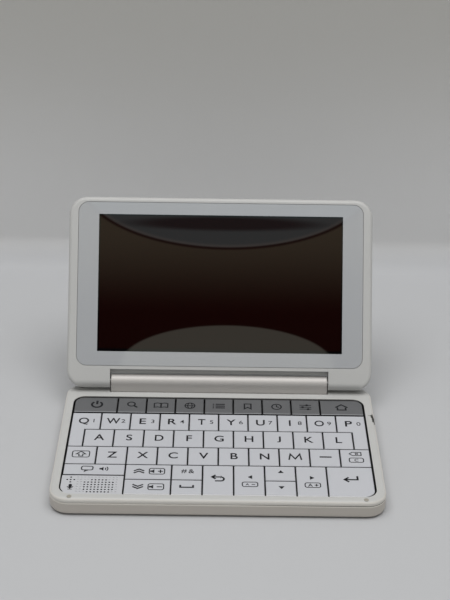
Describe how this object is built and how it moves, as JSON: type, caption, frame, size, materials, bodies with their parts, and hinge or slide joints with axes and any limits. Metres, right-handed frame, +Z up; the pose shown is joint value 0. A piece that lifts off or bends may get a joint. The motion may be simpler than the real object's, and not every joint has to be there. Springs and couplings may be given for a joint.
{
  "type": "electronic dictionary",
  "caption": "Pocket electronic dictionary: a flat keyboard base and a screen lid on a two-axis hinge bar, so the lid shuts, stands open or folds right round.",
  "frame": {"origin": "middle of the flat underside of the base, which the feet hold 0.5 mm off the table", "axes": "+X to the user's right along the hinge, +Y to the back, +Z up through the keys"},
  "size_m": [0.1516, 0.1423, 0.0931],
  "materials": {
    "case_plastic": "fine satin moulded plastic, warm off-white",
    "key_white": "smooth satin, cool white",
    "key_grey": "satin metallic grey",
    "bar_metal": "satin silver",
    "pin_steel": "turned",
    "touch_glass": "clear gloss with a grey printed border",
    "screen": "dark, switched off",
    "board": "lacquered circuit board",
    "battery": "wrapped cell",
    "foot_rubber": "soft matte rubber"
  },
  "bodies": {
    "base": {"bottom_case": "case_plastic", "top_case": "case_plastic", "circuit_board": "board", "battery_pack": "battery", "rubber_feet": "foot_rubber"},
    "hinge_link": {"hinge_bar": "bar_metal", "hinge_pins": "pin_steel"},
    "lid": {"lid_back_cover": "case_plastic", "lid_front_frame": "case_plastic", "touch_glass": "touch_glass", "screen_module": "screen"},
    "key_power": {"key_power": "key_grey"},
    "key_function_1": {"key_function_1": "key_grey"},
    "key_function_2": {"key_function_2": "key_grey"},
    "key_function_3": {"key_function_3": "key_grey"},
    "key_function_4": {"key_function_4": "key_grey"},
    "key_function_5": {"key_function_5": "key_grey"},
    "key_function_6": {"key_function_6": "key_grey"},
    "key_function_7": {"key_function_7": "key_grey"},
    "key_function_8": {"key_function_8": "key_grey"},
    "key_q": {"key_q": "key_white"},
    "key_w": {"key_w": "key_white"},
    "key_e": {"key_e": "key_white"},
    "key_r": {"key_r": "key_white"},
    "key_t": {"key_t": "key_white"},
    "key_y": {"key_y": "key_white"},
    "key_u": {"key_u": "key_white"},
    "key_i": {"key_i": "key_white"},
    "key_o": {"key_o": "key_white"},
    "key_p": {"key_p": "key_white"},
    "key_a": {"key_a": "key_white"},
    "key_s": {"key_s": "key_white"},
    "key_d": {"key_d": "key_white"},
    "key_f": {"key_f": "key_white"},
    "key_g": {"key_g": "key_white"},
    "key_h": {"key_h": "key_white"},
    "key_j": {"key_j": "key_white"},
    "key_k": {"key_k": "key_white"},
    "key_l": {"key_l": "key_white"},
    "key_shift": {"key_shift": "key_white"},
    "key_z": {"key_z": "key_white"},
    "key_x": {"key_x": "key_white"},
    "key_c": {"key_c": "key_white"},
    "key_v": {"key_v": "key_white"},
    "key_b": {"key_b": "key_white"},
    "key_n": {"key_n": "key_white"},
    "key_m": {"key_m": "key_white"},
    "key_dash": {"key_dash": "key_white"},
    "key_clear": {"key_clear": "key_white"},
    "key_voice": {"key_voice": "key_white"},
    "key_page_up": {"key_page_up": "key_white"},
    "key_symbol": {"key_symbol": "key_white"},
    "key_up": {"key_up": "key_white"},
    "key_page_down": {"key_page_down": "key_white"},
    "key_space": {"key_space": "key_white"},
    "key_down": {"key_down": "key_white"},
    "key_back": {"key_back": "key_white"},
    "key_left": {"key_left": "key_white"},
    "key_right": {"key_right": "key_white"},
    "key_enter": {"key_enter": "key_white"}
  },
  "joints": [
    {"name": "bar_turn", "type": "hinge", "parent": "base", "child": "hinge_link", "pos_m": [0, 0.04405, 0.00415], "axis": [-1, 0, 0], "range_deg": [0, 180]},
    {"name": "lid_turn", "type": "hinge", "parent": "hinge_link", "child": "lid", "pos_m": [0, 0.04405, 0.0132], "axis": [-1, 0, 0], "range_deg": [-121.7, 58.3]},
    {"name": "key_power_press", "type": "slide", "parent": "base", "child": "key_power", "axis": [0, 0, -1], "range_m": [0, 0.0006], "stiffness_N_per_m": 700, "springref_m": -0.0006},
    {"name": "key_function_1_press", "type": "slide", "parent": "base", "child": "key_function_1", "axis": [0, 0, -1], "range_m": [0, 0.0006], "stiffness_N_per_m": 700, "springref_m": -0.0006},
    {"name": "key_function_2_press", "type": "slide", "parent": "base", "child": "key_function_2", "axis": [0, 0, -1], "range_m": [0, 0.0006], "stiffness_N_per_m": 700, "springref_m": -0.0006},
    {"name": "key_function_3_press", "type": "slide", "parent": "base", "child": "key_function_3", "axis": [0, 0, -1], "range_m": [0, 0.0006], "stiffness_N_per_m": 700, "springref_m": -0.0006},
    {"name": "key_function_4_press", "type": "slide", "parent": "base", "child": "key_function_4", "axis": [0, 0, -1], "range_m": [0, 0.0006], "stiffness_N_per_m": 700, "springref_m": -0.0006},
    {"name": "key_function_5_press", "type": "slide", "parent": "base", "child": "key_function_5", "axis": [0, 0, -1], "range_m": [0, 0.0006], "stiffness_N_per_m": 700, "springref_m": -0.0006},
    {"name": "key_function_6_press", "type": "slide", "parent": "base", "child": "key_function_6", "axis": [0, 0, -1], "range_m": [0, 0.0006], "stiffness_N_per_m": 700, "springref_m": -0.0006},
    {"name": "key_function_7_press", "type": "slide", "parent": "base", "child": "key_function_7", "axis": [0, 0, -1], "range_m": [0, 0.0006], "stiffness_N_per_m": 700, "springref_m": -0.0006},
    {"name": "key_function_8_press", "type": "slide", "parent": "base", "child": "key_function_8", "axis": [0, 0, -1], "range_m": [0, 0.0006], "stiffness_N_per_m": 700, "springref_m": -0.0006},
    {"name": "key_q_press", "type": "slide", "parent": "base", "child": "key_q", "axis": [0, 0, -1], "range_m": [0, 0.0006], "stiffness_N_per_m": 700, "springref_m": -0.0006},
    {"name": "key_w_press", "type": "slide", "parent": "base", "child": "key_w", "axis": [0, 0, -1], "range_m": [0, 0.0006], "stiffness_N_per_m": 700, "springref_m": -0.0006},
    {"name": "key_e_press", "type": "slide", "parent": "base", "child": "key_e", "axis": [0, 0, -1], "range_m": [0, 0.0006], "stiffness_N_per_m": 700, "springref_m": -0.0006},
    {"name": "key_r_press", "type": "slide", "parent": "base", "child": "key_r", "axis": [0, 0, -1], "range_m": [0, 0.0006], "stiffness_N_per_m": 700, "springref_m": -0.0006},
    {"name": "key_t_press", "type": "slide", "parent": "base", "child": "key_t", "axis": [0, 0, -1], "range_m": [0, 0.0006], "stiffness_N_per_m": 700, "springref_m": -0.0006},
    {"name": "key_y_press", "type": "slide", "parent": "base", "child": "key_y", "axis": [0, 0, -1], "range_m": [0, 0.0006], "stiffness_N_per_m": 700, "springref_m": -0.0006},
    {"name": "key_u_press", "type": "slide", "parent": "base", "child": "key_u", "axis": [0, 0, -1], "range_m": [0, 0.0006], "stiffness_N_per_m": 700, "springref_m": -0.0006},
    {"name": "key_i_press", "type": "slide", "parent": "base", "child": "key_i", "axis": [0, 0, -1], "range_m": [0, 0.0006], "stiffness_N_per_m": 700, "springref_m": -0.0006},
    {"name": "key_o_press", "type": "slide", "parent": "base", "child": "key_o", "axis": [0, 0, -1], "range_m": [0, 0.0006], "stiffness_N_per_m": 700, "springref_m": -0.0006},
    {"name": "key_p_press", "type": "slide", "parent": "base", "child": "key_p", "axis": [0, 0, -1], "range_m": [0, 0.0006], "stiffness_N_per_m": 700, "springref_m": -0.0006},
    {"name": "key_a_press", "type": "slide", "parent": "base", "child": "key_a", "axis": [0, 0, -1], "range_m": [0, 0.0006], "stiffness_N_per_m": 700, "springref_m": -0.0006},
    {"name": "key_s_press", "type": "slide", "parent": "base", "child": "key_s", "axis": [0, 0, -1], "range_m": [0, 0.0006], "stiffness_N_per_m": 700, "springref_m": -0.0006},
    {"name": "key_d_press", "type": "slide", "parent": "base", "child": "key_d", "axis": [0, 0, -1], "range_m": [0, 0.0006], "stiffness_N_per_m": 700, "springref_m": -0.0006},
    {"name": "key_f_press", "type": "slide", "parent": "base", "child": "key_f", "axis": [0, 0, -1], "range_m": [0, 0.0006], "stiffness_N_per_m": 700, "springref_m": -0.0006},
    {"name": "key_g_press", "type": "slide", "parent": "base", "child": "key_g", "axis": [0, 0, -1], "range_m": [0, 0.0006], "stiffness_N_per_m": 700, "springref_m": -0.0006},
    {"name": "key_h_press", "type": "slide", "parent": "base", "child": "key_h", "axis": [0, 0, -1], "range_m": [0, 0.0006], "stiffness_N_per_m": 700, "springref_m": -0.0006},
    {"name": "key_j_press", "type": "slide", "parent": "base", "child": "key_j", "axis": [0, 0, -1], "range_m": [0, 0.0006], "stiffness_N_per_m": 700, "springref_m": -0.0006},
    {"name": "key_k_press", "type": "slide", "parent": "base", "child": "key_k", "axis": [0, 0, -1], "range_m": [0, 0.0006], "stiffness_N_per_m": 700, "springref_m": -0.0006},
    {"name": "key_l_press", "type": "slide", "parent": "base", "child": "key_l", "axis": [0, 0, -1], "range_m": [0, 0.0006], "stiffness_N_per_m": 700, "springref_m": -0.0006},
    {"name": "key_shift_press", "type": "slide", "parent": "base", "child": "key_shift", "axis": [0, 0, -1], "range_m": [0, 0.0006], "stiffness_N_per_m": 700, "springref_m": -0.0006},
    {"name": "key_z_press", "type": "slide", "parent": "base", "child": "key_z", "axis": [0, 0, -1], "range_m": [0, 0.0006], "stiffness_N_per_m": 700, "springref_m": -0.0006},
    {"name": "key_x_press", "type": "slide", "parent": "base", "child": "key_x", "axis": [0, 0, -1], "range_m": [0, 0.0006], "stiffness_N_per_m": 700, "springref_m": -0.0006},
    {"name": "key_c_press", "type": "slide", "parent": "base", "child": "key_c", "axis": [0, 0, -1], "range_m": [0, 0.0006], "stiffness_N_per_m": 700, "springref_m": -0.0006},
    {"name": "key_v_press", "type": "slide", "parent": "base", "child": "key_v", "axis": [0, 0, -1], "range_m": [0, 0.0006], "stiffness_N_per_m": 700, "springref_m": -0.0006},
    {"name": "key_b_press", "type": "slide", "parent": "base", "child": "key_b", "axis": [0, 0, -1], "range_m": [0, 0.0006], "stiffness_N_per_m": 700, "springref_m": -0.0006},
    {"name": "key_n_press", "type": "slide", "parent": "base", "child": "key_n", "axis": [0, 0, -1], "range_m": [0, 0.0006], "stiffness_N_per_m": 700, "springref_m": -0.0006},
    {"name": "key_m_press", "type": "slide", "parent": "base", "child": "key_m", "axis": [0, 0, -1], "range_m": [0, 0.0006], "stiffness_N_per_m": 700, "springref_m": -0.0006},
    {"name": "key_dash_press", "type": "slide", "parent": "base", "child": "key_dash", "axis": [0, 0, -1], "range_m": [0, 0.0006], "stiffness_N_per_m": 700, "springref_m": -0.0006},
    {"name": "key_clear_press", "type": "slide", "parent": "base", "child": "key_clear", "axis": [0, 0, -1], "range_m": [0, 0.0006], "stiffness_N_per_m": 700, "springref_m": -0.0006},
    {"name": "key_voice_press", "type": "slide", "parent": "base", "child": "key_voice", "axis": [0, 0, -1], "range_m": [0, 0.0006], "stiffness_N_per_m": 700, "springref_m": -0.0006},
    {"name": "key_page_up_press", "type": "slide", "parent": "base", "child": "key_page_up", "axis": [0, 0, -1], "range_m": [0, 0.0006], "stiffness_N_per_m": 700, "springref_m": -0.0006},
    {"name": "key_symbol_press", "type": "slide", "parent": "base", "child": "key_symbol", "axis": [0, 0, -1], "range_m": [0, 0.0006], "stiffness_N_per_m": 700, "springref_m": -0.0006},
    {"name": "key_up_press", "type": "slide", "parent": "base", "child": "key_up", "axis": [0, 0, -1], "range_m": [0, 0.0006], "stiffness_N_per_m": 700, "springref_m": -0.0006},
    {"name": "key_page_down_press", "type": "slide", "parent": "base", "child": "key_page_down", "axis": [0, 0, -1], "range_m": [0, 0.0006], "stiffness_N_per_m": 700, "springref_m": -0.0006},
    {"name": "key_space_press", "type": "slide", "parent": "base", "child": "key_space", "axis": [0, 0, -1], "range_m": [0, 0.0006], "stiffness_N_per_m": 700, "springref_m": -0.0006},
    {"name": "key_down_press", "type": "slide", "parent": "base", "child": "key_down", "axis": [0, 0, -1], "range_m": [0, 0.0006], "stiffness_N_per_m": 700, "springref_m": -0.0006},
    {"name": "key_back_press", "type": "slide", "parent": "base", "child": "key_back", "axis": [0, 0, -1], "range_m": [0, 0.0006], "stiffness_N_per_m": 700, "springref_m": -0.0006},
    {"name": "key_left_press", "type": "slide", "parent": "base", "child": "key_left", "axis": [0, 0, -1], "range_m": [0, 0.0006], "stiffness_N_per_m": 700, "springref_m": -0.0006},
    {"name": "key_right_press", "type": "slide", "parent": "base", "child": "key_right", "axis": [0, 0, -1], "range_m": [0, 0.0006], "stiffness_N_per_m": 700, "springref_m": -0.0006},
    {"name": "key_enter_press", "type": "slide", "parent": "base", "child": "key_enter", "axis": [0, 0, -1], "range_m": [0, 0.0006], "stiffness_N_per_m": 700, "springref_m": -0.0006}
  ]
}
